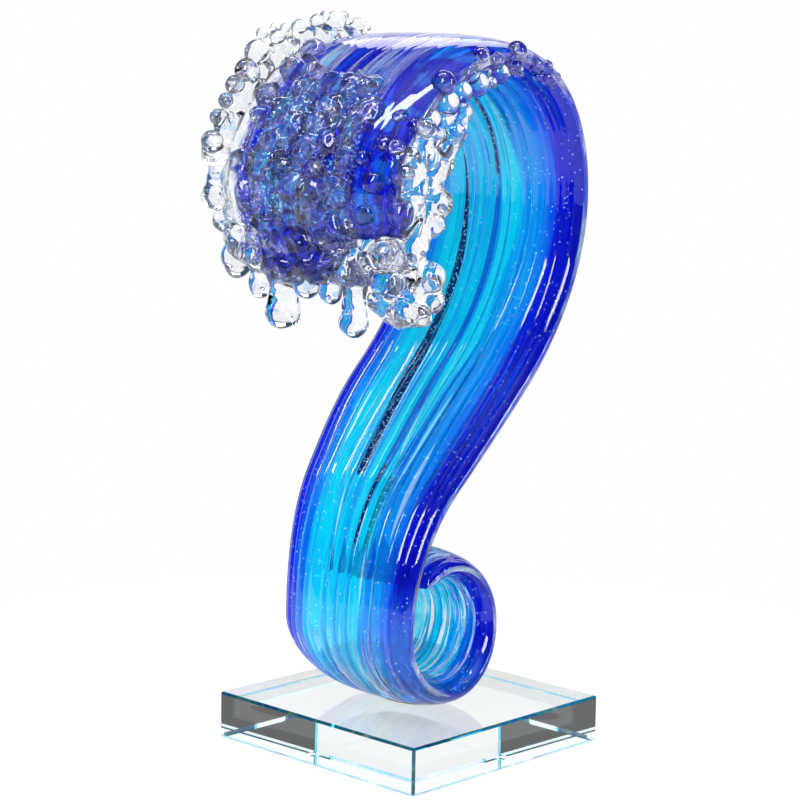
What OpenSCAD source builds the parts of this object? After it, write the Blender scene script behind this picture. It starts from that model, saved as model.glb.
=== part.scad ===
// Glass wave sculpture on a square crystal base.
// A flat strip of fused colour bars is curled into a closed eye at the foot,
// rises in an S, and breaks over at the top in a lip trimmed with clear glass foam.
// The wave runs in a vertical plane, turned a little about Z against the base.
// A place on the strip is given by three numbers: along (mm from the curled tip),
// across (-1 at the near rim, +1 at the far rim) and out (mm towards the outer face).

/* [Base] */
// Side of the square crystal block
base_side = 110; // [90:1:140]
// Thickness of the crystal block
base_h = 19; // [14:0.5:26]
// Flat bevel on every edge of the block
base_bevel = 1; // [0.4:0.1:2]
// Film of clear adhesive between the block and the wave
glue_h = 0.4; // [0.2:0.1:0.8]

/* [Wave path] */
// Turn of the wave against the base, about Z
yaw = 4; // [0:0.1:8]
// Middle radius of the curled foot
eye_r = 27; // [26:0.5:29]
// Middle radius of the curl's last turn, up to its tip
tip_r = 23; // [21:0.5:25]
// Turn from the curl's far side over the top to its tip
tip_turn = 132; // [100:1:132]
// Place of the curl's centre along the wave's plane
eye_x = -6; // [-14:0.5:0]
// Radius of the bend that leans the wave over
rise_r = 77; // [70:1:84]
// Turn of that bend
rise_turn = 47.5; // [44:0.5:49]
// Straight length of the body
rise_len = 54; // [50:1:66]
// Radius of the wave's back
back_r = 105; // [94:1:110]
// Turn of the back
back_turn = 46; // [42:0.5:48]
// Radius of the crest's shoulder
crest_r = 57; // [54:1:62]
// Radius of the brow, from the top down to the lip
brow_r = 80; // [76:1:88]
// Turn of the brow
brow_turn = 57; // [50:1:60]
// Radius of the lip, which curls in under the brow
lip_r = 27; // [24:1:32]
// Turn of the lip
lip_turn = 70; // [50:1:80]

/* [Strip section] */
// Widths at the tip, foot, front, mid, shoulder, top and lip
strip_w = [48, 55, 66, 89, 88, 94, 90];
// Thicknesses at the same places
strip_t = [14, 14, 14, 15, 15, 18, 18];
// Sideways places of the middle line at the same places
strip_y = [0, -3, 5, 13, 8.5, 6.5, 2];
// Squareness of the oval section at the same places
strip_e = [2.1, 2.1, 2.2, 2.5, 2.5, 2.5, 2.4];

/* [Colour bars] */
// Share of the half width where each bar ends, from the far rim to the near rim
bar_edges = [1, 0.94, 0.76, 0.22, -0.06, -0.14, -0.45, -0.74, -0.94, -1];

/* [Foam] */
// Radius of a lump in the front foam
foam_r = 8.5; // [8:0.5:9.5]

/* [Hidden] */

sections_per_turn = 32;
sphere_fn = 10;
bead_fn = 8;
// Steps in the outline of each bar, fewer on the narrow ones
bar_steps = [3, 3, 3, 2, 1, 2, 2, 3, 3];
// Depth ground flat under the foot, where the adhesive holds it
ground_flat = 1;
// Turn of the shoulder, which ends level at the top of the crest
crest_turn = 90 + rise_turn - back_turn;

// The path is a chain of arcs: radius (0 for straight), turn or length, and side of the bend.
path_arcs = [
    [tip_r, tip_turn, -1],
    [eye_r, 180, -1],
    [rise_r, rise_turn, -1],
    [0, rise_len, 0],
    [back_r, back_turn, 1],
    [crest_r, crest_turn, 1],
    [brow_r, brow_turn, 1],
    [lip_r, lip_turn, 1]];

function arc_len(a) = a[0] == 0 ? a[1] : a[0] * a[1] * PI / 180;
function arc_steps(a) = a[0] == 0 ? 3 : ceil(a[1] * sections_per_turn / 360 * (a[0] > 40 ? 1.7 : 1));
function arc_start(i) = i == 0 ? 0 : arc_len(path_arcs[i - 1]) + arc_start(i - 1);
arc_starts = [for (i = [0:len(path_arcs)]) arc_start(i)];
path_len = arc_starts[len(path_arcs)];

seat_z = base_h + glue_h;
eye_z = seat_z - ground_flat + strip_t[1] / 2 + eye_r;
tip_pose = [eye_x + eye_r - tip_r + tip_r * cos(tip_turn), eye_z + tip_r * sin(tip_turn), tip_turn - 90];

// A pose is [x, z, heading]; this moves it by a share of an arc.
function straight(p, a, share) =
    [p[0] + a[1] * share * cos(p[2]), p[1] + a[1] * share * sin(p[2]), p[2]];
function bend(p, a, share) =
    let (half = a[2] * a[1] * share / 2, chord = 2 * a[0] * sin(a[1] * share / 2))
    [p[0] + chord * cos(p[2] + half), p[1] + chord * sin(p[2] + half), p[2] + 2 * half];
function move(p, a, share) = a[0] == 0 ? straight(p, a, share) : bend(p, a, share);
function arc_pose(i) = i == 0 ? tip_pose : move(arc_pose(i - 1), path_arcs[i - 1], 1);
arc_poses = [for (i = [0:len(path_arcs) - 1]) arc_pose(i)];
function arc_at(s, i = 0) =
    i == len(path_arcs) - 1 || s <= arc_starts[i + 1] ? i : arc_at(s, i + 1);
function pose(s) =
    let (i = arc_at(s)) move(arc_poses[i], path_arcs[i], (s - arc_starts[i]) / arc_len(path_arcs[i]));

// Widths and the like change smoothly from one station to the next.
stations = [0, arc_starts[1] + eye_r * PI / 2, arc_starts[2], arc_starts[4], arc_starts[5],
    arc_starts[6], path_len];
function ease(x) = x * x * (3 - 2 * x);
function between(s, values, i) =
    let (share = (s - stations[i]) / (stations[i + 1] - stations[i]))
    values[i] + (values[i + 1] - values[i]) * ease(share);
function along_at(s, values, i = 0) =
    s >= path_len ? values[len(values) - 1]
    : s <= stations[i + 1] ? between(s, values, i) : along_at(s, values, i + 1);

// Half thickness of the oval section at a share of its half width
function half_t(s, u) =
    let (e = along_at(s, strip_e))
    along_at(s, strip_t) / 2 * pow(max(0, 1 - pow(abs(u), e)), 1 / e);

// A place in the wave's own upright plane, no lower than the ground flat under the foot
function place(s, u, out) =
    let (p = pose(s))
    [p[0] + out * sin(p[2]),
     along_at(s, strip_y) + u * along_at(s, strip_w) / 2,
     max(seat_z, p[1] - out * cos(p[2]))];

// The strip's sections, closer together where the path bends
section_s = concat(
    [for (i = [0:len(path_arcs) - 1]) for (k = [0:arc_steps(path_arcs[i]) - 1])
        arc_starts[i] + arc_len(path_arcs[i]) * k / arc_steps(path_arcs[i])],
    [path_len]);

// Shares of the half width across one bar, closer together where the section turns round a rim
function bar_shares(i) =
    let (a = bar_edges[i], b = bar_edges[i + 1], n = bar_steps[i])
    [for (k = [0:n]) let (x = k / n)
        a == 1 ? a + (b - a) * x * x : b == -1 ? b + (a - b) * (1 - x) * (1 - x) : a + (b - a) * x];

// The outline of one bar: across its inner face, and back across its outer face
function bar_ring(s, i) =
    let (shares = bar_shares(i), n = len(shares) - 1)
    concat(
        [for (k = [0:n]) place(s, shares[k], -half_t(s, shares[k]))],
        [for (k = [n:-1:0]) if (abs(shares[k]) < 1) place(s, shares[k], half_t(s, shares[k]))]);

// The outline of the whole strip, from the same points
function strip_shares() = concat(
    [for (i = [0:len(bar_steps) - 1]) for (k = [0:bar_steps[i] - 1]) bar_shares(i)[k]], [-1]);
function strip_ring(s) =
    let (shares = strip_shares(), n = len(shares) - 1)
    concat(
        [for (k = [0:n]) place(s, shares[k], -half_t(s, shares[k]))],
        [for (k = [n - 1:-1:1]) place(s, shares[k], half_t(s, shares[k]))]);

// A solid through rings of points that all have the same count
module loft(rings) {
    n = len(rings[0]);
    last = len(rings) - 1;
    sides = [for (i = [0:last - 1]) for (j = [0:n - 1]) [i * n + j, i * n + (j + 1) % n]];
    polyhedron(
        points = [for (r = rings) for (p = r) p],
        faces = concat(
            [[for (j = [0:n - 1]) j]],
            [for (e = sides) [e[0], e[0] + n, e[1] + n]],
            [for (e = sides) [e[0], e[1] + n, e[1]]],
            [[for (j = [n - 1:-1:0]) last * n + j]]));
}

module turned() {
    rotate([0, 0, yaw]) children();
}

module bar(i) {
    turned() loft([for (s = section_s) bar_ring(s, i)]);
}

// The upper strip as one solid, which the foam is seated on
module crest_solid() {
    loft([for (s = section_s) if (s > arc_starts[4]) strip_ring(s)]);
}

// A lump of foam: its centre and radius
module lump(p, r, fn = sphere_fn) {
    translate(p) hull() sphere(r, $fn = fn);
}

// A run of lumps [x, y, z, radius], each melted into the next
module run(lumps) {
    for (i = [0:len(lumps) - 2])
        hull() {
            for (k = [i, i + 1])
                translate([lumps[k][0], lumps[k][1], lumps[k][2]]) sphere(lumps[k][3], $fn = sphere_fn);
        }
}

// Lumps of the near curtain, hanging inside the near rim of the lip
curtain_inner = [
    [-25, -42, 258, 5.5], [-32, -43, 248, 7], [-36, -43, 236, 7.5], [-41, -42, 225, 8],
    [-45, -41, 213, 8.5], [-47, -41, 200, 9], [-50, -40, 189, 8.5], [-58, -38, 184, 7.5],
    [-66, -35, 189, 7]];
curtain_outer = [
    [-46, -43, 251, 6], [-55, -44, 243, 6.5], [-57, -44, 230, 7], [-58, -43, 217, 7.5],
    [-60, -42, 204, 7.5], [-64, -38, 194, 7]];

// Lumps along the end of the lip, from the near rim to the far rim
fringe = [
    [-60, -30, 203, 10], [-60, -19, 203, 10.5], [-60, -8, 203, 11], [-60, 4, 203, 11],
    [-60, 16, 203, 11], [-60, 27, 204, 10], [-59, 36, 206, 9], [-58, 43, 209, 7.5]];

// Drips of the lip: sideways place, foot of the drip and bulb radius
drips = [[-19, 179, 5.5], [-7, 185, 6], [5, 186, 6.5], [17, 180, 6.5], [29, 188, 5.5], [41, 197, 6]];
drip_x = -60;
drip_top = 198;

// Beads on the near rim: place along the strip, place out and radius
near_bead_list = [
    [403, -2, 3.2], [415, -1, 3.2], [428, 2, 4], [431, -3, 3.8], [442, -1, 3.5], [440, -6, 3.8],
    [450, 3, 3], [459, -2, 3.6], [456, -7, 4.6], [467, -6, 4], [475, 2, 4.6], [478, -5, 5],
    [483, -10, 4.2], [490, -4, 4], [498, 1, 3.2]];

// Beads standing on the far edging: place along the strip, place out and radius
far_bead_list = [
    [404, 8, 3], [412, 10, 3.2], [421, 12, 3.2], [432, 14, 4.2], [442, 13, 3], [452, 13, 3.2],
    [464, 14, 3], [476, 14, 5], [484, 12, 4.8], [492, 13, 3.6], [499, 13, 2.8], [506, 13, 3],
    [514, 12, 4]];

// Clear edging of the far rim: place along the strip, place out and radius
edging_list = [
    [400, 3, 3.2], [410, 5, 4], [425, 7, 5], [440, 7.5, 5.2], [460, 8, 5.4], [480, 8, 5.6],
    [500, 7, 5.6], [514, 5.5, 5.8], [526, 3, 6.5], [536, 1, 7]];
// Share of the half width at which the edging and the beads on either rim run
rim_u = 0.96;

module base_block() {
    s = base_side / 2;
    b = base_bevel;
    plan = [[-s + b, -s], [s - b, -s], [s, -s + b], [s, s - b], [s - b, s], [-s + b, s], [-s, s - b],
        [-s, -s + b]];
    side = [[-s + b, 0], [s - b, 0], [s, b], [s, base_h - b], [s - b, base_h], [-s + b, base_h],
        [-s, base_h - b], [-s, b]];
    color([0.88, 0.96, 0.95, 0.5])
        intersection() {
            linear_extrude(base_h) polygon(plan);
            rotate([90, 0, 0]) translate([0, 0, -s]) linear_extrude(base_side) polygon(side);
            rotate([90, 0, 90]) translate([0, 0, -s]) linear_extrude(base_side) polygon(side);
        }
}

// The film fills the ground flat: an oval patch under the middle of the foot.
module adhesive_film() {
    patch_x = sqrt(2 * (eye_r + strip_t[1] / 2) * ground_flat) - 1;
    patch_y = strip_w[1] / 4;
    color([0.95, 0.98, 1.0, 0.4])
        turned() translate([eye_x, strip_y[1], base_h])
            linear_extrude(glue_h)
                polygon([for (a = [0:10:350]) [patch_x * cos(a), patch_y * sin(a)]]);
}

module clear_far_edge() {
    color([0.86, 0.93, 0.98, 0.6]) bar(0);
}

module cobalt_far_bar() {
    color([0.05, 0.10, 0.80]) bar(1);
}

module turquoise_wide_bar() {
    color([0.05, 0.70, 0.92]) bar(2);
}

module azure_mid_bar() {
    color([0.05, 0.42, 0.90]) bar(3);
}

module aventurine_cane() {
    color([0.05, 0.08, 0.25]) bar(4);
}

module turquoise_near_bar() {
    color([0.05, 0.66, 0.92]) bar(5);
}

module azure_near_bar() {
    color([0.05, 0.38, 0.90]) bar(6);
}

module cobalt_near_bar() {
    color([0.04, 0.07, 0.72]) bar(7);
}

module clear_near_edge() {
    color([0.86, 0.93, 0.98, 0.6]) bar(8);
}

// Raw shapes of the foam, before each is seated on what it is melted to
module curtain_shape() {
    run(curtain_inner);
    for (i = [0:len(curtain_outer) - 2])
        hull() {
            for (lump = [curtain_outer[i], curtain_outer[i + 1], curtain_inner[i + 1], curtain_inner[i + 2]])
                translate([lump[0], lump[1], lump[2]]) sphere(lump[3] - 1.5, $fn = sphere_fn);
        }
    run(curtain_outer);
}

module fringe_shape() {
    run(fringe);
}

module edging_shape() {
    run([for (e = edging_list) concat(place(e[0], rim_u, e[1]), [e[2]])]);
}

module near_curtain() {
    color([0.90, 0.95, 0.98, 0.6])
        turned() difference() {
            curtain_shape();
            crest_solid();
        }
}

module lip_fringe() {
    color([0.86, 0.92, 0.98, 0.6])
        turned() difference() {
            fringe_shape();
            crest_solid();
            curtain_shape();
        }
}

module far_edging() {
    color([0.90, 0.95, 0.98, 0.6])
        turned() difference() {
            edging_shape();
            crest_solid();
            fringe_shape();
        }
}

// Rows of lumps over the brow, in staggered columns, large and small by turns
module foam_shape() {
    from = arc_starts[6] + 56;
    rows = 7;
    columns = 6;
    for (i = [0:rows - 1], j = [0:columns - 1]) {
        s = from + (path_len - from) * (i + 0.2 * sin(211 * i + 83 * j)) / (rows - 1);
        u = 0.62 - 1.16 * (j + 0.35 * (i % 2) + 0.15 * sin(137 * i + 59 * j)) / (columns - 1);
        r = foam_r * (0.88 + 0.16 * sin(97 * i + 151 * j));
        lump(place(s, u, half_t(s, u) - 0.25 * r), r);
    }
}

module front_foam() {
    color([0.55, 0.55, 0.95, 0.8])
        turned() difference() {
            foam_shape();
            crest_solid();
            fringe_shape();
            curtain_shape();
            edging_shape();
        }
}

module near_beads() {
    color([0.80, 0.90, 1.0, 0.7])
        turned() difference() {
            for (b = near_bead_list) lump(place(b[0], -rim_u, b[1]), b[2], bead_fn);
            crest_solid();
            curtain_shape();
        }
}

module far_beads() {
    color([0.90, 0.95, 0.98, 0.7])
        turned() difference() {
            for (b = far_bead_list) lump(place(b[0], rim_u, b[1]), b[2], bead_fn);
            crest_solid();
            edging_shape();
        }
}

module lip_drips() {
    color([0.92, 0.96, 1.0, 0.6])
        turned() difference() {
            for (d = drips) {
                run([[drip_x, d[0], drip_top, 3.5], [drip_x, d[0], d[1] + 8, 3.8], [drip_x, d[0], d[1], d[2]]]);
            }
            crest_solid();
            fringe_shape();
            foam_shape();
            edging_shape();
        }
}

base_block();
adhesive_film();
clear_far_edge();
cobalt_far_bar();
turquoise_wide_bar();
azure_mid_bar();
aventurine_cane();
turquoise_near_bar();
azure_near_bar();
cobalt_near_bar();
clear_near_edge();
front_foam();
near_curtain();
lip_fringe();
far_edging();
near_beads();
far_beads();
lip_drips();
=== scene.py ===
"""Looks of the glass wave sculpture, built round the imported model.

The wave is one strip of coloured glass bars, fused side by side and fluted on the inner face,
with clear glass foam melted on to its crest. It stands on a block of optical crystal.
A place in the strip is given as in the model: s (mm along it from the curled tip), u (across it,
-1 near rim, +1 far rim) and out (mm from the middle line towards the outer face).
"""

import math
import random

import bmesh
import bpy
from mathutils import Matrix, Vector, noise
from mathutils.bvhtree import BVHTree


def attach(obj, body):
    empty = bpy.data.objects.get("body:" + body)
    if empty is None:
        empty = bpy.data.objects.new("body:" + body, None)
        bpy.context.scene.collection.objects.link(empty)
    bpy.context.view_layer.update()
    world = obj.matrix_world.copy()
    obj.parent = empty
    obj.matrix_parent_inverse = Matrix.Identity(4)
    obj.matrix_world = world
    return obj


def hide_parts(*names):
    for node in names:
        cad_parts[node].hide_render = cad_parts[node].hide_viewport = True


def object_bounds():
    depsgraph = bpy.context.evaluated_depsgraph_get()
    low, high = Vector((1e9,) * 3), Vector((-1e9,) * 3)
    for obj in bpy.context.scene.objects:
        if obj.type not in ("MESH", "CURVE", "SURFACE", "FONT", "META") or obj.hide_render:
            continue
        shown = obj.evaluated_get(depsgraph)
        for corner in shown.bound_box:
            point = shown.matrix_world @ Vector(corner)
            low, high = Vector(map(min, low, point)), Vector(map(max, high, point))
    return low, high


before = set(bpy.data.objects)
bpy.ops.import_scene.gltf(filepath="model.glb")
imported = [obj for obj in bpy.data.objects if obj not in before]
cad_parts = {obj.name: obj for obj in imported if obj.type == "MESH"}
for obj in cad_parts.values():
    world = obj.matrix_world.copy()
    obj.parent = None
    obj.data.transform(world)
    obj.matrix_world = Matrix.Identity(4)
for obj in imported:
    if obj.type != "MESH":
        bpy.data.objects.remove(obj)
CAD_LOW, CAD_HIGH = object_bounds()

MM = 0.001
BODY = "root"

# The wave's path, in millimetres and degrees
YAW = 4
BASE_H = 19
GLUE_H = 0.4
GROUND_FLAT = 1
TIP_R, TIP_TURN = 23, 132
EYE_R, EYE_X = 27, -6
RISE_R, RISE_TURN, RISE_LEN = 77, 47.5, 54
BACK_R, BACK_TURN = 105, 46
CREST_R = 57
BROW_R, BROW_TURN = 80, 57
LIP_R, LIP_TURN = 27, 70
# The strip at each of the STATIONS: width, thickness, sideways shift and how full its section is
STRIP_W = [48, 55, 66, 89, 88, 94, 90]
STRIP_T = [14, 14, 14, 15, 15, 18, 18]
STRIP_Y = [0, -3, 5, 13, 8.5, 6.5, 2]
STRIP_E = [2.1, 2.1, 2.2, 2.5, 2.5, 2.5, 2.4]

ARCS = [
    (TIP_R, TIP_TURN, -1),
    (EYE_R, 180, -1),
    (RISE_R, RISE_TURN, -1),
    (0, RISE_LEN, 0),
    (BACK_R, BACK_TURN, 1),
    (CREST_R, 90 + RISE_TURN - BACK_TURN, 1),
    (BROW_R, BROW_TURN, 1),
    (LIP_R, LIP_TURN, 1),
]
SEAT_Z = BASE_H + GLUE_H
EYE_Z = SEAT_Z - GROUND_FLAT + STRIP_T[1] / 2 + EYE_R


def arc_length(arc):
    radius, turn, _ = arc
    return radius * math.radians(turn) if radius else turn


def moved(pose, arc, share):
    """The pose (x, z, heading in degrees) after a share of an arc."""
    radius, turn, side = arc
    x, z, heading = pose
    if radius == 0:
        step, way = turn * share, math.radians(heading)
        return x + step * math.cos(way), z + step * math.sin(way), heading
    chord = 2 * radius * math.sin(math.radians(turn * share / 2))
    way = math.radians(heading + side * turn * share / 2)
    return x + chord * math.cos(way), z + chord * math.sin(way), heading + side * turn * share


STARTS = [0.0]
POSES = [
    (
        EYE_X + EYE_R - TIP_R + TIP_R * math.cos(math.radians(TIP_TURN)),
        EYE_Z + TIP_R * math.sin(math.radians(TIP_TURN)),
        TIP_TURN - 90,
    )
]
for arc in ARCS:
    STARTS.append(STARTS[-1] + arc_length(arc))
    POSES.append(moved(POSES[-1], arc, 1))
PATH_LEN = STARTS[-1]
STATIONS = [0, STARTS[1] + EYE_R * math.pi / 2, STARTS[2], STARTS[4], STARTS[5], STARTS[6], PATH_LEN]


def pose_at(s):
    i = 0
    while i < len(ARCS) - 1 and s > STARTS[i + 1]:
        i += 1
    return moved(POSES[i], ARCS[i], (s - STARTS[i]) / arc_length(ARCS[i]))


def ease(x):
    x = min(1.0, max(0.0, x))
    return x * x * (3 - 2 * x)


def along_at(s, values):
    """A strip measure at s, eased from one station to the next."""
    i = 0
    while i < len(STATIONS) - 2 and s > STATIONS[i + 1]:
        i += 1
    share = ease((s - STATIONS[i]) / (STATIONS[i + 1] - STATIONS[i]))
    return values[i] + (values[i + 1] - values[i]) * share


def half_thickness(s, u):
    e = along_at(s, STRIP_E)
    return along_at(s, STRIP_T) / 2 * max(0.0, 1 - abs(u) ** e) ** (1 / e)


def turned(x, y, z):
    """A place in the wave's own plane, in mm, as a point in metres."""
    c, s = math.cos(math.radians(YAW)), math.sin(math.radians(YAW))
    return Vector(((x * c - y * s) * MM, (x * s + y * c) * MM, z * MM))


def plane_place(s, u, out):
    """A place in the strip, in the wave's own plane, in mm."""
    x, z, heading = pose_at(s)
    way = math.radians(heading)
    y = along_at(s, STRIP_Y) + u * along_at(s, STRIP_W) / 2
    return x + out * math.sin(way), y, z - out * math.cos(way)


def place(s, u, out):
    """A place in the strip as a point in metres, never below the seat on the adhesive."""
    x, y, z = plane_place(s, u, out)
    return turned(x, y, max(SEAT_Z, z))


# Meshes


def finish_mesh(name, bm, materials, node):
    """A smooth mesh object from bm, riding on the body, that stands for a node of the model."""
    bmesh.ops.recalc_face_normals(bm, faces=bm.faces)
    mesh = bpy.data.meshes.new(name)
    bm.to_mesh(mesh)
    bm.free()
    for m in materials:
        mesh.materials.append(m)
    mesh.shade_smooth()
    piece = bpy.data.objects.new(name, mesh)
    bpy.context.collection.objects.link(piece)
    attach(piece, BODY)
    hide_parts(node)
    return piece


def baked(piece, *modifiers):
    """Adds modifiers (type, settings) to a piece and applies them."""
    for kind, settings in modifiers:
        m = piece.modifiers.new(kind.lower(), kind)
        for key, value in settings.items():
            setattr(m, key, value)
    graph = bpy.context.evaluated_depsgraph_get()
    mesh = bpy.data.meshes.new_from_object(piece.evaluated_get(graph))
    old = piece.data
    piece.modifiers.clear()
    piece.data = mesh
    bpy.data.meshes.remove(old)


# Materials

# What each point of a bar knows of its place: across its own bar (0 far to 1 near), along the
# strip in cm, the face it is on (1 outer, -1 inner) and across the whole strip in cm
MARKS = ("across", "along", "side", "wide")


class Nodes:
    """A short way to write the node tree of a material or a world."""

    def __init__(self, owner):
        owner.use_nodes = True
        self.owner = owner
        self.tree = owner.node_tree
        self.shader = self.tree.nodes.get("Principled BSDF")

    def add(self, kind, **settings):
        node = self.tree.nodes.new("ShaderNode" + kind)
        for key, value in settings.items():
            setattr(node, key, value)
        return node

    def put(self, socket, value):
        """Links an output to a socket, or sets the socket's own value."""
        if isinstance(value, bpy.types.NodeSocket):
            self.tree.links.new(value, socket)
        elif value is not None:
            socket.default_value = value

    def principled(self, **values):
        for key, value in values.items():
            self.put(self.shader.inputs[key.replace("_", " ")], value)
        return self.owner

    def attribute(self, name):
        return self.add("Attribute", attribute_name=name).outputs["Fac"]

    def math(self, operation, a, b=None):
        node = self.add("Math", operation=operation)
        self.put(node.inputs[0], a)
        self.put(node.inputs[1], b)
        return node.outputs[0]

    def times(self, *values):
        product = values[0]
        for value in values[1:]:
            product = self.math("MULTIPLY", product, value)
        return product

    def vector(self, x, y, z):
        node = self.add("CombineXYZ")
        for socket, value in zip(node.inputs, (x, y, z)):
            self.put(socket, value)
        return node.outputs[0]

    def noise(self, vector, scale=1.0, detail=2.0, roughness=0.5, distortion=0.0):
        node = self.add("TexNoise")
        self.put(node.inputs["Vector"], vector)
        node.inputs["Scale"].default_value = scale
        node.inputs["Detail"].default_value = detail
        node.inputs["Roughness"].default_value = roughness
        node.inputs["Distortion"].default_value = distortion
        return node.outputs["Fac"]

    def cells(self, vector, scale=1.0):
        """Distance to the nearest of scattered points, and a random value for that point."""
        node = self.add("TexVoronoi")
        self.put(node.inputs["Vector"], vector)
        node.inputs["Scale"].default_value = scale
        parts = self.add("SeparateColor")
        self.put(parts.inputs[0], node.outputs["Color"])
        return node.outputs["Distance"], parts.outputs[0]

    def spread(self, value, low, high, to_low=0.0, to_high=1.0):
        node = self.add("MapRange", interpolation_type="SMOOTHSTEP")
        self.put(node.inputs["Value"], value)
        for key, number in (("From Min", low), ("From Max", high), ("To Min", to_low), ("To Max", to_high)):
            node.inputs[key].default_value = number
        return node.outputs["Result"]

    def dots(self, vector, scale, size, share):
        """A mask of round dots, in a share of the cells."""
        distance, pick = self.cells(vector, scale)
        return self.times(self.spread(distance, size, size * 0.55), self.spread(pick, share, share - 0.02))

    def ramp(self, value, stops):
        node = self.add("ValToRGB")
        self.put(node.inputs["Fac"], value)
        elements = node.color_ramp.elements
        while len(elements) < len(stops):
            elements.new(0.5)
        for element, (position, colour) in zip(elements, stops):
            element.position = position
            element.color = (*colour, 1.0)
        return node.outputs["Color"]

    def mix(self, factor, a, b):
        node = self.add("Mix", data_type="RGBA")
        self.put(node.inputs[0], factor)
        for socket, value in ((node.inputs[6], a), (node.inputs[7], b)):
            self.put(socket, value if isinstance(value, bpy.types.NodeSocket) else (*value, 1.0))
        return node.outputs[2]

    def position(self):
        return self.add("NewGeometry").outputs["Position"]

    def bump(self, height, strength, distance):
        node = self.add("Bump")
        self.put(node.inputs["Height"], height)
        node.inputs["Strength"].default_value = strength
        node.inputs["Distance"].default_value = distance
        return node.outputs["Normal"]


def new_material(name):
    return Nodes(bpy.data.materials.new(name))


# Light crosses two surfaces and takes the root of the colour at each, so the weak parts are very low
COBALT = (0.0002, 0.0014, 0.64)
DEEP_COBALT = (0.0001, 0.0004, 0.47)
ULTRAMARINE = (0.0008, 0.030, 0.79)
AZURE = (0.0003, 0.15, 0.84)
SKY = (0.0002, 0.31, 0.88)
CYAN = (0.0001, 0.65, 0.91)
PALE_CYAN = (0.10, 0.82, 0.95)
CLEAR = (0.965, 0.97, 0.985)
# Painted reflection: the colour of light caught inside long air lenses of the glass
PAINTED_SHINE = (0.72, 0.80, 0.97)
LAVENDER = (0.56, 0.56, 0.84)
BUBBLE_WHITE = (0.93, 0.95, 1.0)
NIGHT = (0.0005, 0.001, 0.012)

GLASS_IOR = 1.5
BODY_TRANSMISSION = 0.80
RIM_TRANSMISSION = 0.92

# Along the strip, in centimetres: where the curl's inside ends, and where the crest begins
CURL_END = 12.5
CREST_FIRST, CREST_LAST = 36.0, 40.5
FRONT_FIRST = 49.0
HALF_WIDE = 4.5  # the "wide" mark at the strip's rim, in centimetres

# Streaks seen in the body: ((u, s) of the lower end, (u, s) of the upper end, half width)
NIGHT_STREAK = ((0.10, 15.0), (0.32, 36.5), 0.30)
NIGHT_END = 19.6  # its ragged lower end, in centimetres
# The silvery streaks below are painted into the colour: a painted reflection of light caught inside long
# air lenses
PAINTED_SHINE_MIDDLE = [((0.18, 16.0), (0.27, 19.6), 0.06), ((0.45, 21.8), (0.41, 24.4), 0.06)]
PAINTED_SHINE_NEAR = [
    ((-0.23, 20.6), (-0.15, 24.4), 0.09), ((-0.37, 18.9), (-0.42, 24.6), 0.10),
    ((-0.31, 14.7), (-0.29, 17.0), 0.07)]
PAINTED_SHINE_OUTER = [((-0.57, 17.2), (-0.55, 21.9), 0.13), ((-0.47, 14.2), (-0.45, 16.4), 0.06)]


def lens(n, wide, along, streak):
    """One slender streak, pointed at both ends: (u, s) of each end and its half width, in cm."""
    (u_first, first), (u_last, last), half = streak
    share = n.add("MapRange", clamp=False)
    n.put(share.inputs["Value"], along)
    share.inputs["From Min"].default_value = first
    share.inputs["From Max"].default_value = last
    x = share.outputs["Result"]
    middle = n.math("ADD", n.times(x, (u_last - u_first) * HALF_WIDE), u_first * HALF_WIDE)
    away = n.math("ABSOLUTE", n.math("SUBTRACT", wide, middle))
    reach = n.times(x, n.math("SUBTRACT", 1.0, x), 4.0 * half)
    return n.spread(n.math("SUBTRACT", reach, away), 0.0, 0.018)


def chance_streaks(n, wide, along, across_rate, along_rate, size, share, seed):
    """Slender streaks scattered along the glass."""
    at = n.vector(n.times(wide, across_rate), n.times(along, along_rate), seed)
    distance, pick = n.cells(at)
    return n.times(n.spread(distance, size, size * 0.7), n.spread(pick, share, share - 0.02))


def crest_veil(n, wide, along, at):
    """Cobalt over the crest, under a veil of tiny bubbles drawn out along the flow."""
    band = n.noise(n.vector(n.times(wide, 1.5), n.times(along, 0.08), 11.0), 1.0, 3.0, 0.55)
    fine = n.noise(n.vector(n.times(wide, 5.0), n.times(along, 0.4), 3.0), 1.0, 3.0, 0.65)
    colour = n.mix(n.spread(band, 0.42, 0.52), COBALT, DEEP_COBALT)
    colour = n.mix(n.spread(band, 0.60, 0.66, 0.0, 0.8), colour, ULTRAMARINE)
    middle = n.spread(wide, -3.4, -1.6)
    thin = n.spread(along, FRONT_FIRST - 2, FRONT_FIRST + 1, 1.0, 0.35)
    haze = n.times(n.spread(band, 0.56, 0.48), n.spread(fine, 0.36, 0.54), middle, thin)
    colour = n.mix(n.times(haze, 0.9), colour, LAVENDER)
    black = n.noise(n.vector(n.times(wide, 1.6), n.times(along, 0.9), 5.0), 1.0, 3.0, 0.6)
    front = n.spread(along, FRONT_FIRST - 1, FRONT_FIRST + 1)
    colour = n.mix(n.times(front, middle, n.spread(black, 0.52, 0.58), 0.85), colour, NIGHT)
    shoulder = n.spread(middle, 0.6, 0.0)
    colour = n.mix(n.times(shoulder, n.spread(n.noise(at, 75.0, 2.0), 0.50, 0.60), 0.85), colour, AZURE)
    specks = n.math("MAXIMUM", n.times(n.dots(at, 950.0, 0.33, 0.9), n.spread(band, 0.60, 0.48)),
                    n.times(n.dots(at, 760.0, 0.36, 0.95), front))
    return n.mix(n.times(specks, n.spread(shoulder, 1.0, 0.0, 0.12, 1.0)), colour, BUBBLE_WHITE)


def crest_mask(n, along, side):
    return n.times(n.spread(along, CREST_FIRST, CREST_LAST), n.spread(side, -0.3, 0.3))


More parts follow.
